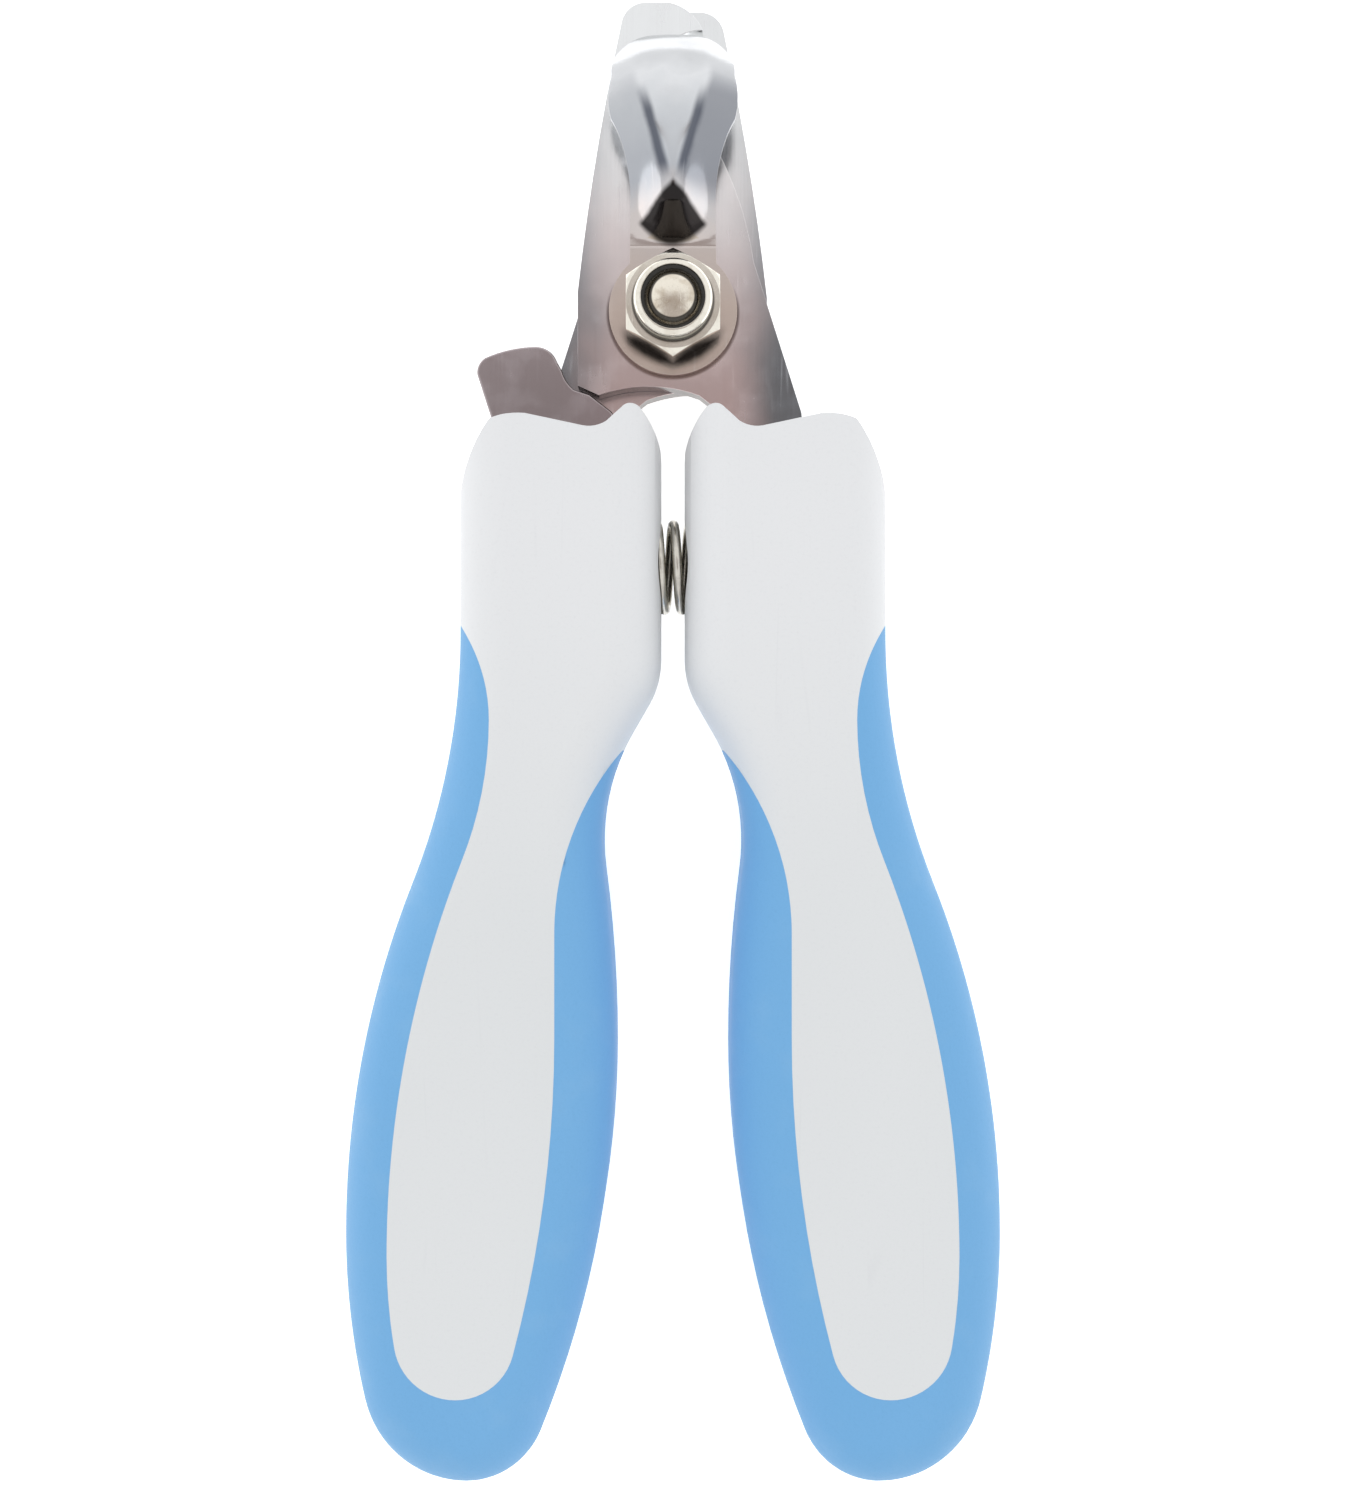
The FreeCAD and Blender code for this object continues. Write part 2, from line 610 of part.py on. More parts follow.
def make_blade(name):
    """One stamping, lying with its contact face on z = 0 and its spine towards -X."""
    body = new_body(name)
    reach, foot, drop = S["blade_reach"], S["foot_half"], S["foot_drop"]
    tang_in, tang_out, end = S["tang_inner"], S["tang_outer"], -S["tang_end"]
    end_x, end_half = S["tang_outer"] + 1.8, S["tang_end_width"] / 2
    notch_y, notch_x = reach - S["notch_back"], S["notch_side"]
    tip_x = notch_x - S["notch_bore"] + 2.2
    sketch = sketch_on(body, f"{name}_outline")
    outline(sketch, [
        (tip_x, notch_y + 4.7), (tip_x, reach - 3.2, 5.0), (-0.4, reach), (-S["tip_half"], reach, 2.7),
        (-5.65, reach - 2.3, 300), (-foot, 2.3), (-foot, -drop), (-foot + 2.3, -drop - 1.05, -16),
        (2.9, -drop - 1.1), (tang_in, -drop - 4.6), (tang_in + 1.9, -30), (end_x - end_half, end, end_half + 0.2),
        (end_x + end_half, end), (tang_out + 1.8, -26), (tang_out, -drop - 2.9), (tang_out - 5.2, 5.6, 38),
        (tip_x + 0.9, notch_y - 6.0),
    ])
    pad(body, sketch, S["plate_thick"])

    holes = sketch_on(body, f"{name}_bores")
    circle_in(holes, 0, 0, S["bolt_bore"] + S["run_gap"])
    circle_in(holes, S["lever_side"], -S["lever_drop"], S["screw_half"] + 0.35)
    circle_in(holes, tang_out, -45, S["anchor_bore"])
    pocket(body, holes)

    edge = sketch_on(body, f"{name}_cutting_edge")
    circle_in(edge, notch_x, notch_y, S["notch_bore"])
    back = sketch_on(body, f"{name}_bevel_edge", lift=S["plate_thick"])
    circle_in(back, notch_x - S["bevel_shift"], notch_y + 0.15, S["notch_bore"] - 0.07)
    bevel = body.newObject("PartDesign::SubtractiveLoft", f"{name}_bevel")
    bevel.Profile = edge
    bevel.Sections = [back]
    bevel.Ruled = True
    return body


def make_blades():
    upper = place(make_blade("upper_plate"), "upper_blade", UPPER_Z)
    lower = place(make_blade("lower_plate"), "lower_blade", LOWER_Z, Rotation(Vector(0, 1, 0), 180))
    return lower, upper


# ---- pivot hardware -------------------------------------------------------------------------------------

def make_bolt():
    body = new_body("bolt")
    sketch = sketch_on(body, "bolt_profile", "XZ_Plane")
    bore, dome, height = S["bolt_bore"], DOME_HALF, S["dome_height"]
    end = NUT_Z + S["nut_height"] + S["bolt_proud"]
    swell = (dome * dome + (height - 0.5) * (height - 0.5)) / ((height - 0.5) * 2)
    outline(sketch, [
        (0, HEAD_Z - height, swell), (dome, HEAD_Z - 0.5), (dome, HEAD_Z), (bore, HEAD_Z),
        (bore, end - 0.9), (bore - 0.6, end - 0.25), (0, end),
    ])
    revolve(body, sketch)
    cross_recess(body, S["cross_half"], S["cross_deep"], HEAD_Z - height)
    place(body, "pivot_bolt")


def make_washer():
    body = new_body("washer")
    sketch = sketch_on(body, "washer_profile", "XZ_Plane")
    inner, outer, thick = S["bolt_bore"] + S["run_gap"], WASHER_HALF, S["washer_thick"]
    outline(sketch, [
        (inner, HEAD_Z), (outer - 0.9, HEAD_Z), (outer, HEAD_Z + 0.35), (outer, HEAD_Z + thick),
        (inner, HEAD_Z + thick),
    ])
    revolve(body, sketch)
    gap = sketch_on(body, "tooth_gap", lift=HEAD_Z - 1)
    half = outer * math.pi / S["tooth_count"] * 0.42
    outline(gap, [
        (outer - S["tooth_deep"], -half * 0.7), (outer + 1, -half * 1.2),
        (outer + 1, half * 1.2), (outer - S["tooth_deep"], half * 0.7),
    ])
    cut = pocket(body, gap, thick + 2)
    ring = body.newObject("PartDesign::PolarPattern", "tooth_ring")
    ring.Originals = [cut]
    ring.Axis = (gap, ["N_Axis"])
    ring.Angle = 360.0
    bind(ring, "Occurrences", S["tooth_count"])
    body.Tip = ring
    place(body, "serrated_washer")


def make_nut():
    body = new_body("nut")
    hexagon = sketch_on(body, "nut_hexagon", lift=NUT_Z)
    apothem = S["bolt_bore"] + S["nut_wall"]
    point = apothem * (2 / math.sqrt(3))
    outline(hexagon, [
        (apothem, -point / 2), (apothem, point / 2), (0, point),
        (-apothem, point / 2), (-apothem, -point / 2), (0, -point),
    ])
    pad(body, hexagon, S["nut_hex_height"])
    collar = sketch_on(body, "nut_collar", "XZ_Plane")
    top, hexagon_top = NUT_Z + S["nut_height"], NUT_Z + S["nut_hex_height"]
    outline(collar, [
        (0, NUT_Z + 1), (COLLAR_HALF, NUT_Z + 1), (COLLAR_HALF, top - 0.8, 0.8),
        (COLLAR_HALF - 0.8, top), (0, top),
    ])
    revolve(body, collar)
    corners = sketch_on(body, "nut_chamfer", "XZ_Plane")
    outline(corners, [
        (apothem - 0.1, hexagon_top + 0.1), (point + 0.6, hexagon_top - 1.05), (point + 0.6, hexagon_top + 0.1),
    ])
    revolve(body, corners, "Groove")
    bore = sketch_on(body, "nut_bore", "XZ_Plane")
    seat = COLLAR_HALF - S["collar_wall"]
    outline(bore, [
        (0, NUT_Z - 1), (S["bolt_bore"], NUT_Z - 1), (S["bolt_bore"], hexagon_top), (seat, hexagon_top),
        (seat, top + 1), (0, top + 1),
    ])
    revolve(body, bore, "Groove")
    place(body, "pivot_nut")

    ring = new_body("insert")
    profile = sketch_on(ring, "insert_profile", "XZ_Plane")
    outline(profile, [
        (S["bolt_bore"], hexagon_top), (seat, hexagon_top), (seat, top - 0.35), (S["bolt_bore"], top - 0.55),
    ])
    revolve(ring, profile)
    place(ring, "nut_insert")


def make_guard():
    """A strip bent over the notch, cut to its outline seen from the front."""
    body = new_body("guard")
    thick, rise, pad_half = S["guard_thick"], S["guard_rise"], S["bolt_bore"] + S["guard_land"]
    step, reach = S["guard_step"], S["blade_reach"] - S["guard_back"]
    roll = reach - S["guard_roll"]
    low, high = GUARD_Z, GUARD_Z + rise
    strip = sketch_on(body, "guard_bend", "YZ_Plane")
    lip = low + 0.9
    run, fall = reach - thick - roll, high - lip
    under = (run * run + fall * fall) / (fall * 2)
    over = ((run + thick) * (run + thick) + (fall + thick) * (fall + thick)) / ((fall + thick) * 2)
    outline(strip, [
        (-pad_half - 1, low), (step - 0.6, low, 1.6), (step + 0.7, low + 0.7),
        (step + 3.5, high - 0.5, -1.6), (step + 4.6, high), (roll, high, -under), (reach - thick, lip),
        (reach, lip, over), (roll, high + thick), (step + 4.2, high + thick, 2.6),
        (step + 2.5, high + thick - 0.9), (step - 0.2, low + thick + 0.4, -1.0), (step - 1.1, low + thick),
        (-pad_half - 1, low + thick),
    ])
    pad(body, strip, S["guard_half"] * 2 + 4, both_ways=True)

    waste = sketch_on(body, "guard_waste", lift=low - 1)
    neck, half = S["guard_neck"], S["guard_half"]
    frame = half + 4
    outline(waste, [(frame, -frame), (frame, reach + 4), (-frame, reach + 4), (-frame, -frame)])
    join_x, join_y = pad_half * 0.676, pad_half * 0.737
    shoulder, crown, nose = half - 0.3, half - 1.3, half * 0.39
    arch = (crown * crown + nose * nose) / (nose * 2)
    outline(waste, [
        (join_x, join_y), (neck, step + 4.5, -16), (shoulder, roll - 2.5, 10), (shoulder, reach - 5.6, 3.5),
        (crown, reach - nose, arch), (-crown, reach - nose, 3.5), (-shoulder, reach - 5.6, 10),
        (-shoulder, roll - 2.5, -16), (-neck, step + 4.5), (-join_x, join_y, pad_half),
        (0, -pad_half, pad_half),
    ])
    pocket(body, waste, rise + thick + 3)
    hole = sketch_on(body, "guard_bore", lift=low - 1)
    circle_in(hole, 0, 0, S["bolt_bore"] + S["run_gap"])
    pocket(body, hole, rise + thick + 3)
    place(body, "nail_guard")


# ---- spring, lever and screw ----------------------------------------------------------------------------

def make_spring():
    length = (S["head_inner"] + S["spring_seat"]) * 2 - S["spring_wire"] * 2 - 0.2
    path = doc.addObject("Part::Helix", "spring_path")
    bind(path, "Radius", S["spring_half"] - S["spring_wire"])
    bind(path, "Height", length)
    bind(path, "Pitch", length / S["spring_turns"])
    path.SegmentLength = 0.5
    doc.recompute()
    wire = doc.addObject("Part::Circle", "spring_section")
    bind(wire, "Radius", S["spring_wire"])
    wire.Placement.Rotation = Rotation(Vector(1, 0, 0), 90)
    bind(wire, "Placement.Base.x", S["spring_half"] - S["spring_wire"])
    coil = doc.addObject("Part::Sweep", "spring_coil")
    coil.Sections = [wire]
    coil.Spine = (path, [f"Edge{number}" for number in range(1, len(path.Shape.Edges) + 1)])
    coil.Solid = True
    coil.Frenet = True
    coil.Label = "return_spring"
    coil.Placement.Rotation = Rotation(Vector(0, 1, 0), 90)
    bind(coil, "Placement.Base.x", -length / 2)
    bind(coil, "Placement.Base.y", PIVOT_Y - S["spring_drop"])
    bind(coil, "Placement.Base.z", MIDDLE_Z)


def make_lever():
    body = new_body("lever")
    hub_x, hub_y, hub = -S["lever_side"], -S["lever_drop"], S["lever_hub"]
    foot, drop = -S["foot_half"], -S["foot_drop"]
    side, top = -S["thumb_side"], -S["thumb_drop"]
    sketch = sketch_on(body, "lever_outline", lift=LEVER_Z)
    outline(sketch, [
        (hub_x + hub, hub_y), (foot + 3.9, drop - 3.6, 1.2), (foot + 3.7, drop - 2.8),
        (foot + 1.3, drop - 0.95), (foot - 0.4, drop - 0.4, -4), (foot - 1.7, drop + 1.6),
        (foot - 2.3, top - 1.6, 2.4), (foot - 4.6, top, 14), (side + 0.9, top - 1.2, 1.9),
        (side, top - 3.0), (side + 2.0, top - 9.2), (hub_x - hub * 0.9, hub_y + hub * 0.45, hub * 1.01),
        (hub_x, hub_y - hub, hub * 1.01),
    ])
    pad(body, sketch, S["lever_thick"])
    bore = sketch_on(body, "lever_bore", lift=LEVER_Z - 1)
    circle_in(bore, hub_x, hub_y, S["screw_half"] + S["run_gap"])
    pocket(body, bore, S["lever_thick"] + 2)
    place(body, "lock_lever")


def make_screw():
    body = new_body("screw")
    sketch = sketch_on(body, "screw_profile", "XZ_Plane")
    half, head, low = S["screw_half"], S["screw_head_half"], S["screw_sink"]
    shoulder = low + S["screw_head_height"]
    swell = head * 2.2
    outline(sketch, [
        (0, low, swell), (head, shoulder - 1.1), (head, shoulder), (half, shoulder),
        (half, low + S["screw_length"] - 0.8), (half - 0.8, low + S["screw_length"]),
        (0, low + S["screw_length"]),
    ])
    revolve(body, sketch)
    cross_recess(body, S["screw_cross"], S["screw_cross_deep"], low)
    body.Label = "lock_screw"
    bind(body, "Placement.Base.x", -S["lever_side"])
    bind(body, "Placement.Base.y", PIVOT_Y - S["lever_drop"])


# ---- the clipper ----------------------------------------------------------------------------------------

NODES = [
    "upper_blade", "lower_blade", "nail_guard", "pivot_bolt", "serrated_washer", "pivot_nut", "nut_insert",
    "return_spring", "lock_lever", "lock_screw", "left_handle_core", "left_handle_grip",
    "right_handle_core", "right_handle_grip",
]

make_cores_and_grips(*make_blades())
make_bolt()
make_washer()
make_nut()
make_guard()
make_spring()
make_lever()
make_screw()
doc.recompute()

for thing in doc.Objects:
    if "Invalid" in thing.State or "Error" in thing.State:
        raise RuntimeError(f"{thing.Name} failed: {thing.State}")

os.makedirs("parts", exist_ok=True)
for node in NODES:
    shape = doc.getObjectsByLabel(node)[0].Shape
    if shape.isNull() or not shape.isValid() or not shape.Solids:
        raise RuntimeError(f"{node} is not a valid solid")
    shape.exportStep(f"parts/{node}.step")
    box = shape.BoundBox
    print(f"{node}: {len(shape.Solids)} solid, {shape.Volume:.1f} mm3,"
          f" x {box.XMin:.2f} {box.XMax:.2f}, y {box.YMin:.2f} {box.YMax:.2f}, z {box.ZMin:.2f} {box.ZMax:.2f}")
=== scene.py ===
import bisect
import math

import bmesh
import bpy
from mathutils import Matrix, Vector


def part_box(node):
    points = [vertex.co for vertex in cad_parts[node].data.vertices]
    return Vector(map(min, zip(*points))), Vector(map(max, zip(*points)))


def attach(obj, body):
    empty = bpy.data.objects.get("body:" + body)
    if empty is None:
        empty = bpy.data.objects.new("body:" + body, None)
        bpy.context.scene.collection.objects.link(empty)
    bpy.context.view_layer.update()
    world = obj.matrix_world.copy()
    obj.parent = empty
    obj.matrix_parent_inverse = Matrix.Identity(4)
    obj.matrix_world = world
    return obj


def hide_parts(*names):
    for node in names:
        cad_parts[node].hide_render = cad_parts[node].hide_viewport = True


# Scissor nail clipper lying on a pale table with its nut on top.
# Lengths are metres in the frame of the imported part; MM turns millimetres into metres.

MM = 0.001

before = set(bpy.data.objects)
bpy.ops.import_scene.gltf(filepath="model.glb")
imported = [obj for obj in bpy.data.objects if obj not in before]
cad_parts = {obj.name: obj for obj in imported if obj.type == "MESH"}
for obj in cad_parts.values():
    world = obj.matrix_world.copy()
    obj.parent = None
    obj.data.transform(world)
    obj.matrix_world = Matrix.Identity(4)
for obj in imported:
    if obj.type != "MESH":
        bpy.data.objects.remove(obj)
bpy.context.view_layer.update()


# ---- places read from the frame --------------------------------------------------------------------------

def middle_of(node):
    low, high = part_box(node)
    return (low + high) / 2


def heights(node):
    """Bottom and top of a node in millimetres above the table."""
    low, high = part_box(node)
    return low.z / MM, high.z / MM


PIVOT = middle_of("nut_insert")
GUARD_LOW, GUARD_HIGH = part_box("nail_guard")
SPRING_LOW, SPRING_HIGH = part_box("return_spring")
HANDLE_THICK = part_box("right_handle_core")[1].z

# the flat wedge pressed down the middle of the guard, in millimetres: its narrow half width, how much it
# spreads, and where along the guard it does so
WEDGE_NARROW = 0.6
WEDGE_SPREAD = 3.1
WEDGE_RUN = (12.5, 23.5)
# the guard's sheet, and its step: how high it climbs, and where its sides climb more gently than its middle
GUARD_SHEET = 1.0
STEP_RISE = 5.9
STEP_SIDE_RUN = (8.6, 18.5)
# where the guard's pad ends and its pressed facets begin, in metres, and the radius of the pad in millimetres
PRESSED_FROM = PIVOT.y + 5.6 * MM
PAD_RADIUS = 7.0
# the planes that cut the guard before it is pressed, along it and across it
LENGTH_CUTS = 66
WIDTH_CUTS = 30
# vertices closer than this are one, and faces that turn less than this many degrees are one
SAME_PLACE = 0.0004 * MM
SAME_PLANE = 0.4
# the handles, in millimetres: the reach of their heads behind the pivot, the rim round the heads, half the gap
# between the handles, and half the height that is kept free of the rim round the tang
HEAD_REACH = 25
HEAD_RIM = 0.7
SLIT_HALF = 1.3
TANG_HALF = 3.7


# ---- shader maths ----------------------------------------------------------------------------------------

class Wire:
    """An output in a finish's nodes. Arithmetic on it adds Math nodes."""

    def __init__(self, finish, socket):
        self.finish = finish
        self.socket = socket

    def maths(self, operation, *values):
        return self.finish.add("Math", {"operation": operation}, dict(enumerate(values)))

    def __add__(self, other):
        return self.maths("ADD", self, other)

    __radd__ = __add__

    def __sub__(self, other):
        return self.maths("SUBTRACT", self, other)

    def __rsub__(self, other):
        return self.maths("SUBTRACT", other, self)

    def __mul__(self, other):
        return self.maths("MULTIPLY", self, other)

    __rmul__ = __mul__

    def __truediv__(self, other):
        return self.maths("DIVIDE", self, other)

    def __abs__(self):
        return self.maths("ABSOLUTE", self)

    def __pow__(self, other):
        return self.maths("POWER", self, other)


class Finish:
    """One material: a Principled shader whose varying sockets are fed by wires."""

    def __init__(self, name, **fixed):
        self.material = bpy.data.materials.new(name)
        self.material.use_nodes = True
        self.tree = self.material.node_tree
        self.tree.nodes.clear()
        self.shader = self.tree.nodes.new("ShaderNodeBsdfPrincipled")
        output = self.tree.nodes.new("ShaderNodeOutputMaterial")
        self.tree.links.new(self.shader.outputs[0], output.inputs["Surface"])
        for socket, value in fixed.items():
            self.shader.inputs[socket.replace("_", " ")].default_value = value
        metres = self.add("TexCoord", out="Object")
        self.place = self.add("VectorMath", {"operation": "SCALE"}, {0: metres, "Scale": 1 / MM})

    def add(self, kind, settings=(), sockets=(), out=0):
        """Adds a node. Settings go in first, a ramp's stops among them, then the sockets' values or wires."""
        node = self.tree.nodes.new("ShaderNode" + kind)
        for key, value in dict(settings).items():
            if key == "stops":
                ramp = node.color_ramp
                for stop in value[2:]:
                    ramp.elements.new(stop[0])
                for element, (spot, colour) in zip(ramp.elements, value):
                    element.position = spot
                    element.color = (*colour, 1.0)
            else:
                setattr(node, key, value)
        for key, value in dict(sockets).items():
            self.feed(node.inputs[key], value)
        return Wire(self, node.outputs[out])

    def feed(self, socket, value):
        if isinstance(value, Wire):
            self.tree.links.new(value.socket, socket)
        elif isinstance(value, tuple) and socket.type == "RGBA":
            socket.default_value = (*value, 1.0)
        else:
            socket.default_value = value

    def wear(self, **wires):
        """Feeds the shader's varying sockets."""
        for name, value in wires.items():
            self.feed(self.shader.inputs[name.replace("_", " ")], value)
        return self.material

    def axes(self):
        """The place across, along and above the clipper, in millimetres from the pivot axis and the table."""
        return [self.add("SeparateXYZ", sockets={0: self.place}, out=axis) - shift
                for axis, shift in zip("XYZ", (0.0, PIVOT.y / MM, 0.0))]

    def grain(self, size, stretch=(1, 1, 1), detail=2.0, shift=0.0):
        """Noise from 0 to 1 with grains about size millimetres across, stretched along the axes."""
        scaled = self.add("Mapping", sockets={
            "Vector": self.place, "Location": (shift, shift * 1.7, shift * 2.3),
            "Scale": tuple(1 / (size * pull) for pull in stretch)})
        return self.add("TexNoise", sockets={"Vector": scaled, "Scale": 1.0, "Detail": detail})

    def pebbles(self, size):
        """Rounded cells about size millimetres across."""
        scaled = self.add("Mapping", sockets={"Vector": self.place, "Scale": (1 / size, 1 / size, 1 / size)})
        return self.add("TexVoronoi", {"feature": "F1"}, {"Vector": scaled, "Scale": 1.0})

    def step(self, value, low, high):
        """0 below low, 1 above high and a smooth rise between."""
        return self.add("MapRange", {"interpolation_type": "SMOOTHSTEP"}, {
            "Value": value, "From Min": low, "From Max": high})

    def fade(self, value, low, high):
        """1 below low, 0 above high and a smooth fall between."""
        return 1.0 - self.step(value, low, high)

    def band(self, value, rise, fall):
        """1 between a smooth rise and a smooth fall, each from its first value to its second."""
        return self.step(value, *rise) * self.fade(value, *fall)

    def slide(self, value, low, high):
        """0 below low, 1 above high and a straight rise between."""
        return self.add("MapRange", sockets={"Value": value, "From Min": low, "From Max": high})

    def ramp(self, value, *stops):
        return self.add("ValToRGB", {"stops": stops}, {"Fac": value}, out="Color")

    def blend(self, share, first, second):
        """From the first colour to the second as share goes from 0 to 1."""
        return self.add("Mix", {"data_type": "RGBA"}, {0: share, 6: first, 7: second}, out=2)

    def bump(self, height, depth, strength=1.0):
        """A normal from a height of 0 to 1; depth is in millimetres."""
        return self.add("Bump", sockets={"Height": height, "Distance": depth * MM, "Strength": strength})


# ---- finishes --------------------------------------------------------------------------------------------

def distance(across, along):
    return (across * across + along * along) ** 0.5


def scratches(finish, size, turn, thin=0.03):
    """A few hairline scratches: 1 on a scratch, 0 elsewhere."""
    turned = finish.add("Mapping", sockets={
        "Vector": finish.place, "Rotation": (0.0, 0.0, turn),
        "Scale": (1 / size, 0.06 / size, 1 / size)})
    edge = finish.add("TexVoronoi", {"feature": "DISTANCE_TO_EDGE"}, {"Vector": turned, "Scale": 1.0})
    patches = finish.step(finish.grain(size * 2.5, shift=turn), 0.56, 0.68)
    return finish.fade(edge, 0.0, thin) * patches


def blade_steel(name, near, far, side, under, low, high):
    """Ground and buffed stainless sheet between two heights, with a painted reflection that is warmer near the
    pivot than far from it and takes the side tint towards its sides.

    Its edge walls carry painted shade below the pivot, its lower face has the tint under as painted shade
    round the pivot, and a painted shadow ring runs where the guard's pad turns on it.
    """
    finish = Finish(name, Metallic=1.0)
    across, along, up = finish.axes()
    cloud = finish.grain(7.0, (1.0, 1.8, 1.0), detail=3.0)
    lay = finish.grain(0.16, (1.0, 60.0, 1.0), detail=3.0)
    # painted reflection: the warm near tint round the pivot fades to the far tint further out, and the flanks
    # take the side tint, darker towards the handles
    reach = finish.step(along + (cloud - 0.5) * 16.0, -14.0, 27.0)
    flank = finish.step(abs(across) + (cloud - 0.5) * 5.0, 5.5, 12.5)
    # painted shade: the plate's lower face is darkened round the pivot
    lower_face = finish.fade(up, low + 0.1, low + 0.3)
    middle_tint = finish.blend(reach, finish.blend(lower_face, near, under), far)
    flank_tint = finish.blend(finish.step(along, -12.0, 12.0), tuple(0.66 * part for part in side), side)
    tint = finish.blend(flank, middle_tint, flank_tint)
    tint = finish.blend(lay * 0.10, tint, (0.42, 0.41, 0.41))
    # painted shade on the plate's edge walls below the pivot
    edge = finish.band(up, (low + 0.06, low + 0.22), (high - 0.22, high - 0.06))
    shaded_edge = edge * finish.fade(along, -4.0, 8.0)
    tint = finish.blend(shaded_edge * 0.88, tint, (0.06, 0.055, 0.05))
    # painted shadow: a dark ring round the guard's pad, on the side towards the handles
    ring = finish.band(distance(across, along), (PAD_RADIUS - 0.25, PAD_RADIUS - 0.05),
                       (PAD_RADIUS + 0.05, PAD_RADIUS + 0.4))
    wear_and_shadow = ring * finish.fade(along, 0.0, 4.0)
    tint = finish.blend(wear_and_shadow * 0.75, tint, (0.10, 0.06, 0.05))
    marks = scratches(finish, 3.4, 0.35) + scratches(finish, 4.6, -0.8)
    smudge = finish.grain(4.2, detail=4.0, shift=5.0)
    return finish.wear(
        Base_Color=finish.blend(marks * 0.10, tint, (0.92, 0.93, 0.95)),
        Roughness=0.15 + lay * 0.08 + finish.step(smudge, 0.45, 0.75) * 0.10 + marks * 0.1,
        Normal=finish.bump(lay * 0.7 + finish.grain(2.4) * 2.0 - marks * 0.8, 0.0016))


def guard_steel():
    """Bright drawn sheet with a painted reflection along it, and painted shade in its creases, on its facets,
    on its step and under the nut.
    """
    finish = Finish("bright_guard_steel", Metallic=1.0)
    across, along = finish.axes()[:2]
    out = abs(across)
    cloud = finish.grain(3.2, detail=3.0)
    lay = finish.grain(0.14, (40.0, 1.0, 1.0), detail=2.0)
    wander = (cloud - 0.5) * 0.8
    # painted shade: a near-black patch on the guard's step just beyond the pad
    riser_shade = (finish.step(along - across * across * 0.166 + wander * 0.5, 6.6, 7.5)
            * finish.fade(along + out * 0.80 + wander * 0.8, 11.8, 12.7))
    wedge = WEDGE_NARROW + WEDGE_SPREAD * finish.slide(along, *WEDGE_RUN)
    # painted shade in the creases beside the wedge
    crease = (finish.fade(abs(out - wedge + wander * 0.4), 0.15, 0.85)
              * finish.band(along, (12.0, 14.5), (19.5, 23.0)))
    # painted shadow round the nut, on the side towards the handles
    nut_shadow = finish.fade(distance(across, along) + wander, 5.3, 6.5) * finish.fade(along, -3.6, -1.2)
    # painted reflection: warm near the pivot, bright at the lip and darker at the very end
    tint = finish.ramp(along / 30.0 + (cloud - 0.5) * 0.16,
                       (0.0, (0.74, 0.63, 0.56)), (0.32, (0.62, 0.57, 0.55)), (0.46, (0.55, 0.57, 0.60)),
                       (0.66, (0.66, 0.68, 0.70)), (0.80, (0.80, 0.81, 0.82)), (0.93, (0.60, 0.61, 0.62)))
    # painted reflection: the pressed facets darkened, the right one more than the left, for how light falls on
    # them
    flank = finish.step(out - wedge, -0.2, 0.8) * finish.band(along, (10.5, 13.5), (21.5, 26.0))
    right_is_darker = 0.30 + 0.45 * finish.step(across, -1.0, 1.0)
    tint = finish.blend(flank * right_is_darker, tint, (0.22, 0.23, 0.26))
    tint = finish.blend(crease * 0.85, tint, (0.06, 0.07, 0.10))
    tint = finish.blend(riser_shade * 0.97, tint, (0.012, 0.010, 0.010))
    tint = finish.blend(nut_shadow * 0.95, tint, (0.02, 0.016, 0.014))
    marks = scratches(finish, 2.6, 1.2)
    return finish.wear(
        Base_Color=finish.blend(marks * 0.25, tint, (0.95, 0.95, 0.96)),
        Roughness=0.16 + lay * 0.07 + finish.step(cloud, 0.5, 0.75) * 0.07,
        Normal=finish.bump(lay * 0.5 + cloud * 1.6, 0.0015))


def plated_steel(name, warm, dark, roughness, shade=None):
    """Nickel plating over turned or pressed steel, with an optional mask of painted shade."""
    finish = Finish(name, Metallic=1.0)
    cloud = finish.grain(1.6, detail=4.0)
    pores = finish.step(finish.grain(0.22, detail=2.0, shift=3.0), 0.58, 0.74)
    marks = scratches(finish, 1.5, 0.6, thin=0.05)
    tint = finish.blend(finish.step(cloud, 0.42, 0.68) * 0.55, warm, dark)
    if shade is not None:
        # painted shade where the mask is 1
        tint = finish.blend(shade(finish), tint, (0.022, 0.020, 0.018))
    return finish.wear(
        Base_Color=finish.blend(pores * 0.18, tint, (0.30, 0.27, 0.23)),
        Roughness=roughness + cloud * 0.10 + pores * 0.12 + marks * 0.1,
        Normal=finish.bump(cloud * 0.9 - pores * 0.5 - marks * 0.4, 0.0022))


def recess(finish, node, half_span, swell):
    """The cross recess in the domed back of a bolt or screw: 1 on its walls and floor, which get painted
    shade.
    """
    across, along, up = finish.axes()
    middle, low = middle_of(node), heights(node)[0]
    across, along = across - middle.x / MM, along - (middle.y - PIVOT.y) / MM
    squared = across * across + along * along
    depth = up - low - squared / (2 * swell)
    return (finish.band(depth, (0.10, 0.45), (3.0, 3.4))
            * finish.fade(squared ** 0.5, half_span, half_span + 0.15))


def bolt_shade(finish):
    """Painted shade on the bolt's end chamfer and first thread, and in its cross recess."""
    across, along, up = finish.axes()
    thread = finish.band(distance(across, along), (2.15, 2.32), (2.66, 2.80)) * finish.step(up, 15.0, 16.0)
    return thread * 0.94 + recess(finish, "pivot_bolt", 3.35, 9.8) * 0.85


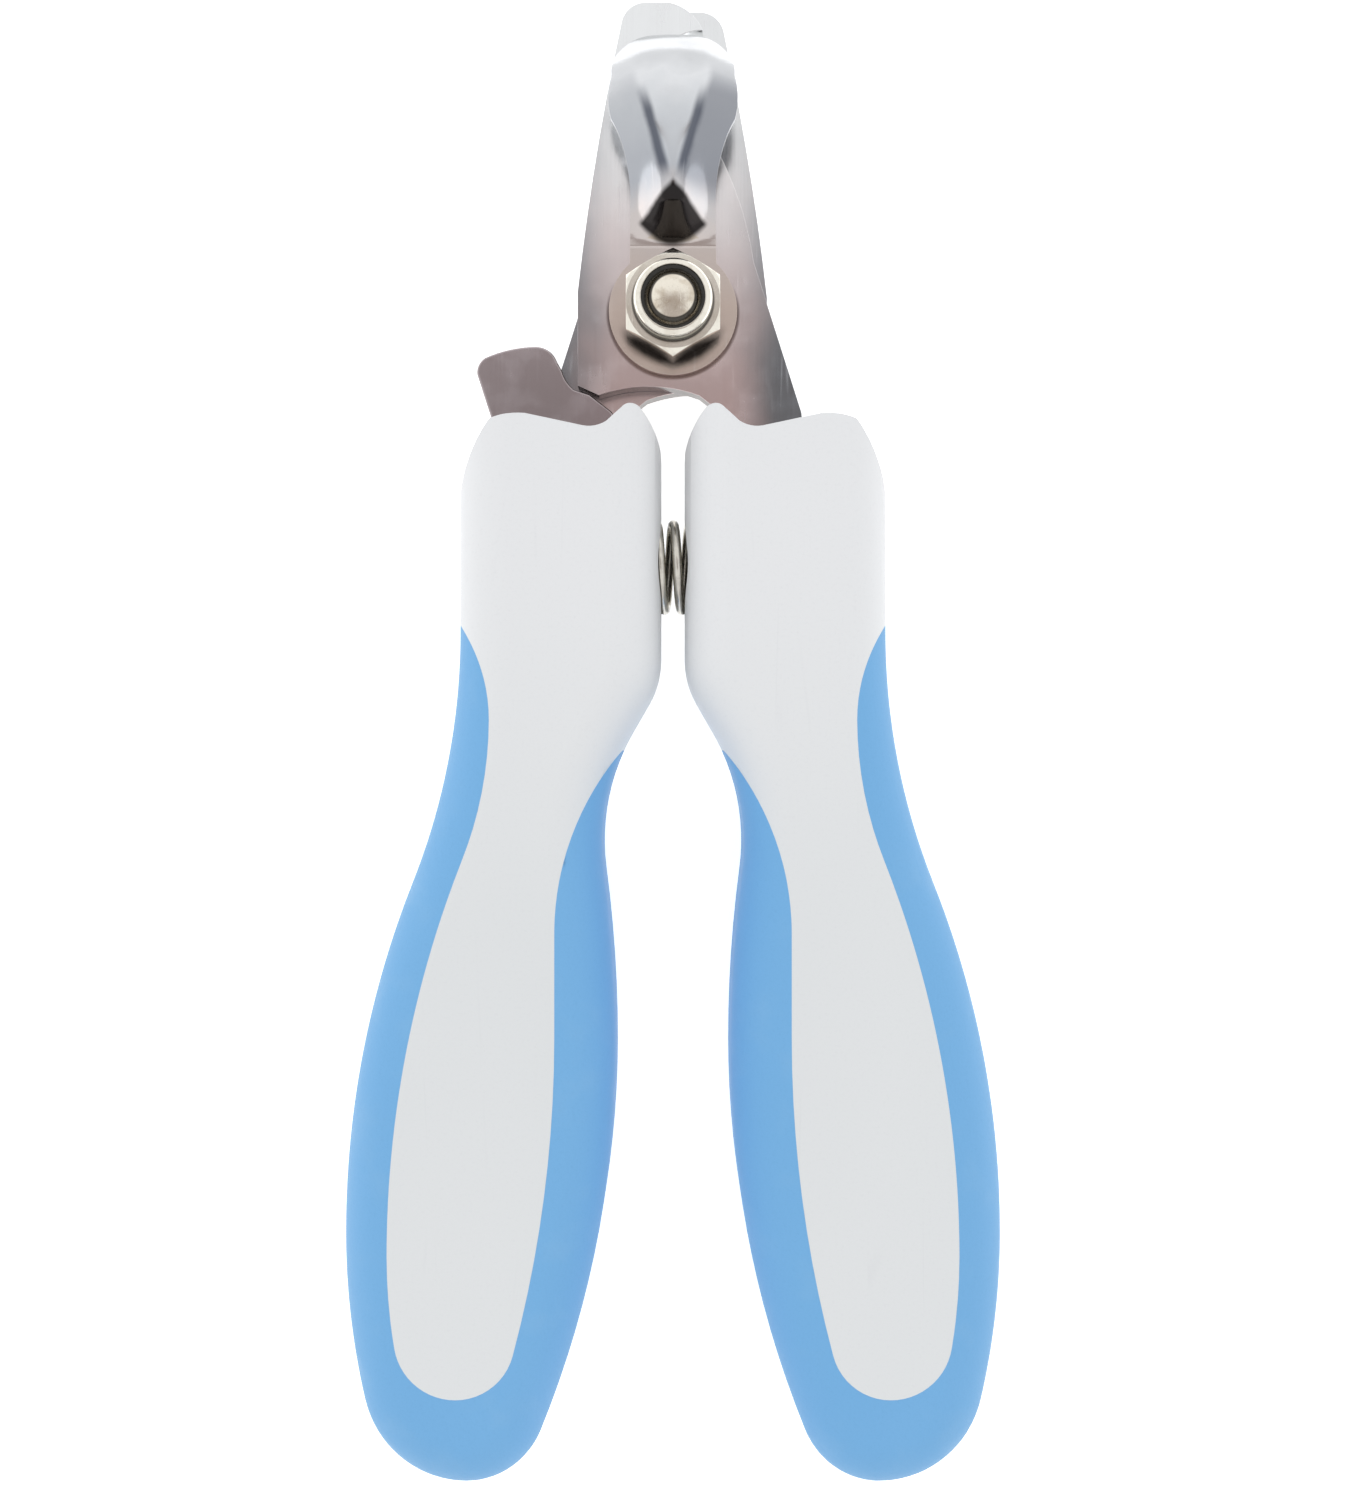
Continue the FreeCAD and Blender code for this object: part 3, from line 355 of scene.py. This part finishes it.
def screw_shade(finish):
    return recess(finish, "lock_screw", 2.4, 7.5) * 0.85


def nut_walls(finish):
    """Painted shade on the flats of the nut towards the handles and on the foot of its collar, which see only
    the guard.
    """
    across, along, up = finish.axes()
    around = distance(across, along)
    top = heights("pivot_nut")[1]
    flats = (finish.fade(up, top - 3.1, top - 2.6) * finish.step(around, 4.6, 4.9)
             * finish.fade(along, -1.0, 2.5))
    foot = finish.band(around, (4.10, 4.20), (4.32, 4.50))
    return flats * 0.85 + foot * 0.75 * (1.0 - flats)


def hard_white():
    """Satin moulded plastic with a fine spark-eroded texture."""
    finish = Finish("moulded_white_plastic", Specular_IOR_Level=0.45)
    along = finish.axes()[1]
    flow = finish.grain(26.0, (1.0, 2.2, 1.0), detail=2.0)
    specks = finish.grain(0.34, detail=2.0, shift=2.0)
    marks = scratches(finish, 6.0, 0.5, thin=0.015) + scratches(finish, 9.0, -0.4, thin=0.012)
    tint = finish.blend(flow, (0.700, 0.722, 0.726), (0.750, 0.764, 0.766))
    # painted light: the handles lighter towards their heads
    tint = finish.blend(finish.step(along, -70.0, -22.0) * 0.75, tint, (0.795, 0.800, 0.806))
    tint = finish.blend(finish.step(specks, 0.50, 0.80) * 0.10, tint, (0.55, 0.56, 0.58))
    return finish.wear(
        Base_Color=finish.blend(marks * 0.08, tint, (0.50, 0.51, 0.54)),
        Roughness=0.36 + flow * 0.10 + specks * 0.10 + marks * 0.08,
        Normal=finish.bump(specks + flow * 0.6 - marks * 0.6, 0.006, 0.6))


def soft_blue():
    """Matt overmoulded rubber."""
    finish = Finish("soft_blue_rubber", Specular_IOR_Level=0.32, Sheen_Weight=0.12, Sheen_Roughness=0.5)
    flow = finish.grain(18.0, (1.0, 2.5, 1.0), detail=2.0, shift=1.0)
    skin = finish.grain(0.26, detail=3.0, shift=4.0)
    pebbles = finish.pebbles(0.42)
    wear_and_shadow = finish.step(finish.grain(5.0, detail=4.0, shift=7.0), 0.52, 0.74)
    tint = finish.blend(flow, (0.158, 0.408, 0.712), (0.190, 0.445, 0.748))
    tint = finish.blend(finish.step(skin, 0.45, 0.85) * 0.16, tint, (0.115, 0.31, 0.56))
    return finish.wear(
        Base_Color=finish.blend(wear_and_shadow * 0.14, tint, (0.25, 0.48, 0.72)),
        Roughness=0.60 + skin * 0.14 - wear_and_shadow * 0.12,
        Normal=finish.bump(skin * 0.8 + pebbles * 0.5 + flow * 0.6, 0.012, 0.7))


def nylon():
    """Dull, nearly black locking ring whose tone varies in clouds."""
    finish = Finish("locking_nylon", Specular_IOR_Level=0.3)
    cloud = finish.grain(0.7, detail=4.0)
    return finish.wear(
        Base_Color=finish.blend(cloud, (0.020, 0.020, 0.018), (0.055, 0.052, 0.048)),
        Roughness=0.45 + cloud * 0.2,
        Normal=finish.bump(cloud, 0.02))


def table_top():
    """Pale paper-white table."""
    finish = Finish("pale_table", Specular_IOR_Level=0.1, Emission_Color=(1.0, 1.0, 1.0, 1.0),
                    Emission_Strength=0.62)
    fibre = finish.grain(1.4, detail=4.0)
    return finish.wear(
        Base_Color=finish.blend(fibre, (0.925, 0.925, 0.925), (0.94, 0.94, 0.94)),
        Roughness=0.75 + fibre * 0.15,
        Normal=finish.bump(fibre, 0.01, 0.3))


# painted reflection and shade for the blades and lever: the near tints round the pivot, the side tint on their
# sides, and the underside shade on their lower faces
SIDE_REFLECTION = (0.34, 0.36, 0.385)
UNDERSIDE_SHADE = (0.17, 0.165, 0.18)
STEEL_UPPER = blade_steel("upper_blade_steel", (0.73, 0.575, 0.56), (0.86, 0.87, 0.87), SIDE_REFLECTION,
                          UNDERSIDE_SHADE, *heights("upper_blade"))
STEEL_LOWER = blade_steel("lower_blade_steel", (0.71, 0.565, 0.55), (0.82, 0.83, 0.83), SIDE_REFLECTION,
                          UNDERSIDE_SHADE, *heights("lower_blade"))
STEEL_LEVER = blade_steel("lever_steel", (0.45, 0.38, 0.39), (0.64, 0.60, 0.60), (0.60, 0.52, 0.53),
                          (0.40, 0.36, 0.36), *heights("lock_lever"))
STEEL_GUARD = guard_steel()
PLATED_WASHER = plated_steel("washer_plating", (0.86, 0.83, 0.76), (0.66, 0.62, 0.55), 0.10)
PLATED_BOLT = plated_steel("bolt_plating", (0.90, 0.84, 0.72), (0.50, 0.40, 0.28), 0.14, bolt_shade)
PLATED_NUT = plated_steel("nut_plating", (0.90, 0.86, 0.76), (0.70, 0.64, 0.54), 0.10, nut_walls)
PLATED_SCREW = plated_steel("zinc_plating", (0.74, 0.71, 0.64), (0.48, 0.45, 0.40), 0.20, screw_shade)
SPRING_WIRE = plated_steel("spring_wire_steel", (0.68, 0.65, 0.58), (0.46, 0.43, 0.38), 0.16)
WHITE = hard_white()
BLUE = soft_blue()
NYLON = nylon()


# ---- pieces ----------------------------------------------------------------------------------------------

def piece(name, mesh, finish, body, slot, *stands_for):
    """Puts a mesh on show: smooth faces, its finish, and the body that it moves with."""
    item = bpy.data.objects.new(name, mesh)
    bpy.context.scene.collection.objects.link(item)
    mesh.materials.clear()
    mesh.materials.append(finish)
    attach(item, body)
    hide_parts(*stands_for)
    return item


def merged_copy(node):
    """A copy of a CAD node's mesh with its loose triangles joined and its flat faces made whole."""
    form = bmesh.new()
    form.from_mesh(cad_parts[node].data)
    bmesh.ops.remove_doubles(form, verts=form.verts, dist=SAME_PLACE)
    bmesh.ops.dissolve_degenerate(form, edges=form.edges, dist=SAME_PLACE)
    bmesh.ops.dissolve_limit(form, verts=form.verts, edges=form.edges, angle_limit=math.radians(SAME_PLANE))
    return form


def round_edges(form, width, sharper_than, segments=3, chosen=None):
    """Bevels every edge that turns by more than an angle, or those of them that are chosen."""
    limit = math.radians(sharper_than)
    edges = [edge for edge in form.edges
             if edge.is_manifold and edge.calc_face_angle(0.0) > limit and (chosen is None or chosen(edge))]
    bmesh.ops.bevel(form, geom=edges, offset=width, offset_type="OFFSET", affect="EDGES", segments=segments,
                    profile=0.5, clamp_overlap=True, material=-1)


def mesh_of(form, name, crease=32.0):
    """The finished mesh, smooth but for edges that turn by more than the crease angle."""
    mesh = bpy.data.meshes.new(name)
    for face in form.faces:
        face.smooth = True
    form.to_mesh(mesh)
    form.free()
    mesh.set_sharp_from_angle(angle=math.radians(crease))
    return mesh


def keep_flats(item):
    """Shades flat faces flat right up to their rounded edges."""
    weighted = item.modifiers.new("flat_faces", "WEIGHTED_NORMAL")
    weighted.keep_sharp = True


def bevelled(node, name, finish, body, slot, width, sharper_than=28.0):
    """A CAD node shown with its sharp edges broken."""
    form = merged_copy(node)
    round_edges(form, width * MM, sharper_than)
    keep_flats(piece(name, mesh_of(form, name), finish, body, slot, node))


def share_of(value, low, high):
    """0 below low, 1 above high and a straight rise between."""
    return min(max((value - low) / (high - low), 0.0), 1.0)


def smooth_rise(value, low, high):
    share = share_of(value, low, high)
    return share * share * (3 - 2 * share)


def level_at(spots, place):
    """The height at a place on a line through spots of (place, height)."""
    after = min(max(bisect.bisect(spots, (place, 0.0)), 1), len(spots) - 1)
    (start, low), (end, high) = spots[after - 1], spots[after]
    return low + (high - low) * share_of(place, start, end)


def slice_guard(form, axis, spot):
    """Cuts the guard ahead of its pad by a plane across an axis."""
    place, normal = Vector(), Vector()
    place[axis] = spot
    normal[axis] = 1.0
    faces = [face for face in form.faces if axis == 1 or face.calc_center_median().y > PRESSED_FROM]
    around = dict.fromkeys(part for face in faces for part in (*face.edges, *face.verts))
    bmesh.ops.bisect_plane(form, geom=[*faces, *around], dist=0.001 * MM, plane_co=place, plane_no=normal)


def middle_levels(form, side):
    """The heights down the middle of the guard, in millimetres, on its top side (1) or its under side (-1)."""
    levels = {round(vert.co.y / MM, 3): vert.co.z / MM for vert in form.verts
              if abs(vert.co.x) < 3 * MM and vert.normal.z * side > 0.2}
    return sorted(levels.items())


def pressed_down(place, top, under):
    """How far pressing lowers a place on the flat guard, in millimetres.

    The sides slope away from the wedge, climb the step later than the middle does and curve down at the nose.
    """
    along, out = (place.y - PIVOT.y) / MM, abs(place.x) / MM
    wedge = WEDGE_NARROW + WEDGE_SPREAD * share_of(along, *WEDGE_RUN)
    slope = 0.50 * smooth_rise(along, 10.0, 18.0) * (1.0 - 0.8 * smooth_rise(along, 19.0, 26.0))
    fold = 0.5 * (out - wedge + math.sqrt((out - wedge) ** 2 + 0.05))
    crown = 2.1 * smooth_rise(along, 18.5, 25.0) * (place.x / GUARD_HIGH.x) ** 2
    height = share_of(place.z / MM, under, top)
    lift = (1 - height) * under + height * (top - GUARD_SHEET) - GUARD_LOW.z / MM
    gentle = STEP_RISE * smooth_rise(along, *STEP_SIDE_RUN)
    lag = 0.0 if along > STEP_SIDE_RUN[1] else smooth_rise(out, 0.3, 4.6) * max(lift - gentle, 0.0)
    return slope * fold + lag + crown


def pressed_guard():
    """The guard with its pressed facets: a flat wedge down the middle between two sloping sides."""
    form = merged_copy("nail_guard")
    round_edges(form, 0.22 * MM, 40.0)
    length, width = GUARD_HIGH.y - PRESSED_FROM, GUARD_HIGH.x - GUARD_LOW.x
    for number in range(LENGTH_CUTS):
        slice_guard(form, 1, PRESSED_FROM + length * number / LENGTH_CUTS)
    for number in range(1, WIDTH_CUTS):
        slice_guard(form, 0, GUARD_LOW.x + width * number / WIDTH_CUTS)
    form.normal_update()
    tops, unders = middle_levels(form, 1), middle_levels(form, -1)
    for vert in form.verts:
        spot = vert.co.y / MM
        vert.co.z -= pressed_down(vert.co, level_at(tops, spot), level_at(unders, spot)) * MM
    bmesh.ops.triangulate(form, faces=[face for face in form.faces if len(face.verts) > 4])
    keep_flats(piece("pressed_guard", mesh_of(form, "pressed_guard"), STEEL_GUARD, "guard", "guard_steel",
                     "nail_guard"))


def coiled_spring():
    """Compression spring along X with its end turns closed up."""
    wire = 0.55 * MM
    centre = (SPRING_LOW + SPRING_HIGH) / 2
    half = (SPRING_HIGH.z - SPRING_LOW.z) / 2 - wire
    length = SPRING_HIGH.x - SPRING_LOW.x - 2 * wire
    closed = 2.15 * wire
    open_turns = 5.5
    form = bmesh.new()
    start = Vector((SPRING_LOW.x + wire, centre.y, centre.z + half))
    upright = Matrix.Rotation(math.pi / 2, 4, "Y") @ Matrix.Rotation(math.pi / 2, 4, "X")
    turned = Matrix.Translation(start) @ upright
    ring = bmesh.ops.create_circle(form, segments=14, radius=wire, matrix=turned)["verts"]
    geom = list(dict.fromkeys(edge for vert in ring for edge in vert.link_edges))
    first = geom
    for turns, pitch in ((1.0, closed), (open_turns, (length - 2 * closed) / open_turns), (1.0, closed)):
        steps = int(turns * 48)
        made = bmesh.ops.spin(form, geom=geom, cent=centre, axis=(1, 0, 0), steps=steps,
                              angle=turns * 2 * math.pi, dvec=(turns * pitch / steps, 0, 0))
        geom = [item for item in made["geom_last"] if isinstance(item, bmesh.types.BMEdge)]
    for end in (first, geom):
        bmesh.ops.edgeloop_fill(form, edges=end)
    bmesh.ops.remove_doubles(form, verts=form.verts, dist=0.001 * MM)
    bmesh.ops.recalc_face_normals(form, faces=form.faces)
    piece("coiled_spring", mesh_of(form, "coiled_spring"), SPRING_WIRE, "left_half", "spring_steel",
          "return_spring")


def handle_core(side):
    """White handle half with a soft rim round its head and a fine groove along the rubber."""
    node = f"{side}_handle_core"
    form = merged_copy(node)

    def on_rim(edge):
        middle = (edge.verts[0].co + edge.verts[1].co) / 2
        clear_of_tang = [abs(vert.co.z - HANDLE_THICK / 2) > TANG_HALF * MM for vert in edge.verts]
        by_slit = [abs(abs(vert.co.x) - SLIT_HALF * MM) < 0.1 * MM for vert in edge.verts]
        on_head = middle.y > PIVOT.y - HEAD_REACH * MM
        return on_head and all(clear or slit for clear, slit in zip(clear_of_tang, by_slit))

    round_edges(form, HEAD_RIM * MM, 40.0, segments=4, chosen=on_rim)
    round_edges(form, 0.10 * MM, 40.0, segments=2)
    name = f"{side}_white_handle"
    keep_flats(piece(name, mesh_of(form, name, 40.0), WHITE, f"{side}_half", "core_plastic", node))


def handle_grip(side):
    bevelled(f"{side}_handle_grip", f"{side}_blue_grip", BLUE, f"{side}_half", "grip_rubber", 0.12, 40.0)


pressed_guard()
coiled_spring()
for side in ("left", "right"):
    handle_core(side)
    handle_grip(side)
bevelled("upper_blade", "upper_cutting_blade", STEEL_UPPER, "right_half", "blade_steel", 0.14)
bevelled("lower_blade", "lower_cutting_blade", STEEL_LOWER, "left_half", "blade_steel", 0.14)
bevelled("lock_lever", "thumb_lever", STEEL_LEVER, "lever", "blade_steel", 0.22)
bevelled("pivot_nut", "locking_nut", PLATED_NUT, "right_half", "plated_steel", 0.10)
bevelled("pivot_bolt", "domed_bolt", PLATED_BOLT, "right_half", "plated_steel", 0.12)
bevelled("serrated_washer", "toothed_washer", PLATED_WASHER, "right_half", "plated_steel", 0.05)
bevelled("lock_screw", "lever_screw", PLATED_SCREW, "left_half", "plated_steel", 0.10)
bevelled("nut_insert", "nylon_ring", NYLON, "right_half", "insert_nylon", 0.08)


# ---- table, lights and camera ----------------------------------------------------------------------------

def table():
    """The table top, which throws no light back on the clipper."""
    form = bmesh.new()
    bmesh.ops.create_grid(form, x_segments=1, y_segments=1, size=3.0)
    mesh = bpy.data.meshes.new("table_top")
    form.to_mesh(mesh)
    form.free()
    mesh.materials.append(table_top())
    top = bpy.data.objects.new("table_top", mesh)
    bpy.context.scene.collection.objects.link(top)
    top.visible_diffuse = False


def softbox(name, place, wide, tall, watts):
    """A rectangular lamp aimed at the clipper, which bright metal doesn't mirror."""
    lamp = bpy.data.lights.new(name, "AREA")
    lamp.shape = "RECTANGLE"
    lamp.size = wide
    lamp.size_y = tall
    lamp.energy = watts
    item = bpy.data.objects.new(name, lamp)
    bpy.context.scene.collection.objects.link(item)
    item.location = place
    item.rotation_mode = "QUATERNION"
    item.rotation_quaternion = (-Vector(place)).to_track_quat("-Z", "Y")
    item.visible_glossy = False


def shade_card(name, place, wide, tall, tint):
    """A dull card that the bright metal mirrors as a darker patch."""
    form = bmesh.new()
    turn = (-Vector(place)).to_track_quat("-Z", "Y").to_matrix().to_4x4()
    bmesh.ops.create_grid(form, x_segments=1, y_segments=1, size=0.5,
                          matrix=Matrix.Translation(place) @ turn @ Matrix.Diagonal((wide, tall, 1.0, 1.0)))
    mesh = bpy.data.meshes.new(name)
    form.to_mesh(mesh)
    form.free()
    felt = Finish(name, Roughness=0.9, Specular_IOR_Level=0.0)
    cloud = felt.grain(30.0)
    mesh.materials.append(felt.wear(Base_Color=felt.blend(cloud, tint, tuple(0.8 * part for part in tint))))
    card = bpy.data.objects.new(name, mesh)
    bpy.context.scene.collection.objects.link(card)


def studio():
    world = bpy.data.worlds.new("studio_walls")
    bpy.context.scene.world = world
    world.use_nodes = True
    walls = world.node_tree.nodes["Background"]
    walls.inputs["Color"].default_value = (0.98, 0.985, 1.0, 1.0)
    walls.inputs["Strength"].default_value = 0.98
    softbox("back_light", (0.0, 0.75, 0.32), 0.7, 0.22, 0.40)
    softbox("left_light", (-0.80, 0.15, 0.30), 0.35, 0.50, 0.85)
    softbox("right_light", (0.82, 0.05, 0.32), 0.30, 0.50, 0.60)
    shade_card("overhead_card", (0.0, 0.055, 0.50), 0.20, 0.26, (0.52, 0.47, 0.455))


def camera():
    """Looks straight down on the nut, with the clipper filling the height of the picture."""
    shown = 162.4 * MM
    away = 190 * MM
    level = 13.2 * MM
    lens = bpy.data.cameras.new("camera")
    lens.sensor_width = 36.0
    lens.lens = lens.sensor_width * away / shown
    eye = bpy.data.objects.new("camera", lens)
    bpy.context.scene.collection.objects.link(eye)
    eye.location = (0.0, -1.4 * MM, level + away)
    lens.clip_start = 0.01
    lens.clip_end = 10.0
    bpy.context.scene.camera = eye


table()
studio()
camera()
bpy.context.scene.view_settings.view_transform = "Standard"
